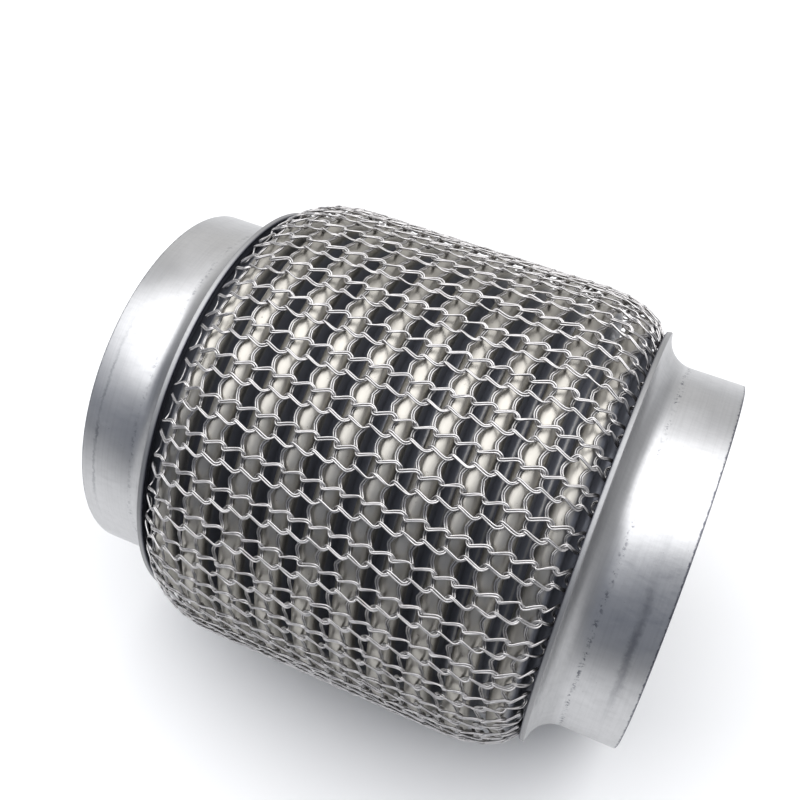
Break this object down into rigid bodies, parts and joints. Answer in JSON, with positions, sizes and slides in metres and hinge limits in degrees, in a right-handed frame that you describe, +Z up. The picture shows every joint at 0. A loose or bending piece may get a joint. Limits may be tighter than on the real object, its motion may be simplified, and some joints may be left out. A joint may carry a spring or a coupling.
{
  "type": "exhaust flex pipe",
  "caption": "Flexible exhaust coupling: corrugated steel bellows under a knitted wire sleeve, with an interlocked liner and flared end caps whose sockets take the pipe.",
  "frame": {"origin": "middle of the pipe, on its axis", "axes": "+X along the pipe from inlet to outlet, +Z up with the pipe lying level, as it is fitted under a vehicle"},
  "size_m": [0.1016, 0.0858, 0.0858],
  "materials": {
    "cap_steel": "satin pressed sheet with fine scratches",
    "ring_steel": "satin rolled sheet",
    "bellows_steel": "bright formed sheet",
    "liner_steel": "dull wound strip",
    "wire_steel": "bright drawn wire"
  },
  "bodies": {
    "root": {"inlet_cap": "cap_steel", "outlet_cap": "cap_steel", "inlet_ring": "ring_steel", "outlet_ring": "ring_steel", "bellows": "bellows_steel", "interlock_liner": "liner_steel", "wire_sleeve": "wire_steel"}
  },
  "joints": []
}
